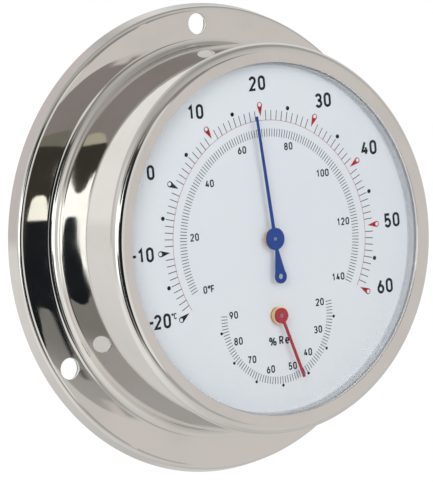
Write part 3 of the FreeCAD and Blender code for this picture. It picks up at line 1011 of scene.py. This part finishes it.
def studio_surroundings():
    """The room as metal sees it, told by tilt from the way that the dial faces and by turn round that
    way, from the camera's side at 0 over the top at 90. The camera's side is dark with one bright gap,
    and the walls beside and behind it are paler. The flange mirrors one ring of tilts, the barrel
    another, and the bend at the barrel's foot those between."""
    world = bpy.data.worlds.new("studio")
    bpy.context.scene.world = world
    world.use_nodes = True
    tree = Tree(world.node_tree)
    way = tree.add("ShaderNodeTexCoord").outputs["Generated"]
    x, y, z = tree.add("ShaderNodeSeparateXYZ", {0: way}).outputs
    round_front = tree.math("ARCTAN2", z, tree.math("MULTIPLY", x, -1.0))
    turn = tree.math("DEGREES", round_front)
    tilt = tree.math("DEGREES", tree.math("ARCCOSINE", tree.math("MULTIPLY", y, -1.0)))
    warm = (0.650, 0.624, 0.603, 1.0)
    shade = (0.012, 0.0145, 0.018, 1.0)
    bright = (1.48, 1.56, 1.52, 1.0)
    dusk = grey(0.045, 1.07, 0.8)
    floor_end = grey(0.25, 0.98, 0.94)
    floor_grey = grey(0.43, 1.0, 0.97)
    brown = grey(0.265, 1.07, 0.97)

    def room(floor_stops, floor_edge, gap_edges, gap_light, dark_edge, glow_edge, glow, wall_edge):
        """Floor and walls with the dark side, its bright gap and the glow over it, between bowed edges.
        Where the gap has two edges, the dark under it gets a neck."""
        walls = [(-180, warm), (-156, warm), (-148, grey(0.60)), (-140, floor_grey)]
        seen = tree.round_ramp(turn, walls + floor_stops)
        wall = tree.round_ramp(turn, [(-180, brown), (150, brown), (160, warm)])
        seen = tree.mix(tree.past(turn, tilt, *floor_edge), seen, shade)
        in_gap = tree.past(turn, tilt, *gap_edges[0])
        for edge in gap_edges[1:]:
            in_gap = tree.math("MULTIPLY", in_gap, tree.past(turn, tilt, *edge))
        for share, beyond in ((in_gap, gap_light), (tree.past(turn, tilt, *dark_edge), dusk),
                              (tree.past(turn, tilt, *glow_edge), glow),
                              (tree.past(turn, tilt, *wall_edge), wall)):
            seen = tree.mix(share, seen, beyond)
        return seen

    in_flange = room(
        floor_stops=[(-100, floor_grey), (-80, grey(0.31)), (-66, floor_end)],
        floor_edge=(-41.5, -1.0, 30.05, 6),
        gap_edges=[(16.2, 0, 0, 1)], gap_light=grey(1.38, 0.96, 0.9),
        dark_edge=(32.2, -0.54, 29.9, 4),
        glow_edge=(70.5, -1.3, 27, 1), glow=grey(0.20, 1.0, 0.85),
        wall_edge=(78.2, -0.4, 27, 1))
    in_barrel = room(
        floor_stops=[(-62, floor_grey), (-57, grey(0.29)), (-48, floor_end)],
        floor_edge=(-34.3, 0.9, 35.4, 2),
        gap_edges=[(18.2, -0.5, 35.15, 6), (6, -4.0, 36.0, 2)], gap_light=bright,
        dark_edge=(31.8, 1.9, 35.9, 2),
        glow_edge=(62.9, 0, 0, 1), glow=grey(0.50, 1.0, 0.78),
        wall_edge=(71.3, -0.8, 34.8, 2))
    lit_turn = 12.0
    from_lit_turn = tree.math("ABSOLUTE", tree.math("SUBTRACT", turn, lit_turn))
    far_round = tree.between(from_lit_turn, 126.0, 132.0)
    near_foot = tree.mix(far_round, in_barrel, warm)
    ahead = tree.round_ramp(turn, [
        (-180, grey(0.72)), (-112, grey(0.86)), (-84, grey(0.80)), (-74, shade), (84, shade), (98, grey(0.3)),
        (110, grey(0.78)), (180, grey(0.72))])
    gap = tree.round_ramp(turn, [
        (-180, warm), (-60, warm), (-42, shade), (-4, shade), (0, bright), (22, bright), (26, shade),
        (50, dusk), (90, grey(0.48)), (130, grey(0.6)), (180, warm)])
    window = tree.round_ramp(turn, [
        (-180, warm), (-90, grey(0.65)), (-55, grey(0.85)), (-25, grey(0.68)), (-8, bright), (20, bright),
        (34, grey(0.35)), (60, grey(0.42)), (110, grey(0.50)), (145, grey(0.6)), (180, warm)])
    beside = tree.round_ramp(turn, [
        (-180, warm), (-110, grey(0.57)), (-55, grey(0.85)), (-25, grey(0.88)), (0, grey(0.62)),
        (34, grey(0.75)), (60, grey(0.5)), (110, grey(0.33)), (145, grey(0.42)), (180, warm)])
    side_wall = grey(0.575, 1.05, 0.99)
    sides = tree.round_ramp(turn, [
        (-180, warm), (-127, grey(0.56)), (-112, grey(0.52)), (-82, grey(0.64)), (-7, grey(0.78)),
        (0, grey(0.78)), (6, side_wall), (90, side_wall), (100, grey(0.5)), (125, grey(0.8)),
        (150, grey(0.8)), (180, warm)])
    behind = tree.round_ramp(turn, [
        (-180, grey(0.61)), (-110, grey(0.67)), (-60, grey(0.68)), (-7, grey(0.77)), (12, grey(0.775)),
        (18, grey(0.88)), (115, grey(0.87)), (138, grey(0.64)), (180, grey(0.61))])
    # A ring starts to show at its first tilt and has taken over at its second
    rings = [(24, 26.5, in_flange), (32.2, 32.9, near_foot), (33.35, 33.55, in_barrel), (38.5, 40, gap),
             (50, 54, window), (68, 74, beside), (98, 110, sides), (128, 136, behind)]
    seen_by_metal = ahead
    for start, full, ring in rings:
        seen_by_metal = tree.mix(tree.between(tilt, start, full), seen_by_metal, ring)
    path = tree.add("ShaderNodeLightPath")
    mirrored = tree.math("MAXIMUM", path.outputs["Is Glossy Ray"], path.outputs["Is Singular Ray"])
    mirrored = tree.math("MAXIMUM", mirrored, path.outputs["Is Transmission Ray"])
    seen = tree.mix(mirrored, PLAIN_LEVEL, seen_by_metal)
    seen = tree.mix(path.outputs["Is Camera Ray"], seen, WHITE)
    tree.feed(world.node_tree.nodes["Background"].inputs["Color"], seen)


def soft_lamp(name, place, size, power):
    """A square lamp that faces the case. Metal doesn't mirror it."""
    light = bpy.data.lights.new(name, "AREA")
    light.shape = "SQUARE"
    light.size = size
    light.energy = power
    lamp = bpy.data.objects.new(name, light)
    bpy.context.scene.collection.objects.link(lamp)
    lamp.location = place
    lamp.rotation_mode = "QUATERNION"
    lamp.rotation_quaternion = (-Vector(place)).to_track_quat("-Z", "Y")
    lamp.visible_glossy = False


def floor():
    """A pale floor under the case. The camera sees it nearly white, with a faint shadow left on it."""
    reach = 3.0
    low = cad_box[0].z
    mesh = bpy.data.meshes.new("floor")
    corners = [(-reach, -reach, low), (reach, -reach, low), (reach, reach, low), (-reach, reach, low)]
    mesh.from_pydata(corners, [], [(0, 1, 2, 3)])
    material, tree, surface = new_material("floor_paint")
    surface.inputs["Base Color"].default_value = (0.85, 0.85, 0.85, 1.0)
    surface.inputs["Roughness"].default_value = 0.9
    glow = tree.add("ShaderNodeEmission", {"Color": WHITE, "Strength": FLOOR_GLOW})
    path = tree.add("ShaderNodeLightPath")
    seen = tree.math("MAXIMUM", path.outputs["Is Camera Ray"], path.outputs["Is Transmission Ray"])
    share = tree.math("MULTIPLY", seen, FLOOR_GLOW_SHARE)
    show_instead(material, tree, share, surface.outputs["BSDF"], glow.outputs["Emission"])
    mesh.materials.append(material)
    plane = bpy.data.objects.new("floor", mesh)
    bpy.context.scene.collection.objects.link(plane)
    plane.visible_glossy = False


def camera():
    """The photograph's viewpoint."""
    azimuth = math.radians(CAMERA_AZIMUTH)
    elevation = math.radians(CAMERA_ELEVATION)
    roll = math.radians(CAMERA_ROLL)
    back = Vector((math.sin(azimuth) * math.cos(elevation), -math.cos(azimuth) * math.cos(elevation),
                   math.sin(elevation)))
    level = (-back).cross(Vector((0, 0, 1))).normalized()
    down = (-back).cross(level)
    right = math.cos(roll) * level - math.sin(roll) * down
    under = math.sin(roll) * level + math.cos(roll) * down
    data = bpy.data.cameras.new("camera")
    data.sensor_width = SENSOR_WIDTH
    data.lens = FOCAL_LENGTH_PIXELS * SENSOR_WIDTH / IMAGE_HEIGHT
    data.clip_start = CLIP_START
    data.clip_end = CLIP_END
    viewer = bpy.data.objects.new("camera", data)
    bpy.context.scene.collection.objects.link(viewer)
    axes = Matrix((right, -under, back)).transposed().to_4x4()
    viewer.matrix_world = Matrix.Translation(CAMERA_PLACE) @ axes
    bpy.context.scene.camera = viewer


made = finishes()
dress_frame(made)
case_shell(made["chrome"])
print_dial()
studio_surroundings()
soft_lamp("key_lamp", place=(-0.95, -0.85, 0.45), size=0.7, power=7.0)
soft_lamp("front_lamp", place=(0.1, -1.2, 0.25), size=0.8, power=5.0)
floor()
camera()
bpy.context.scene.view_settings.view_transform = "Standard"
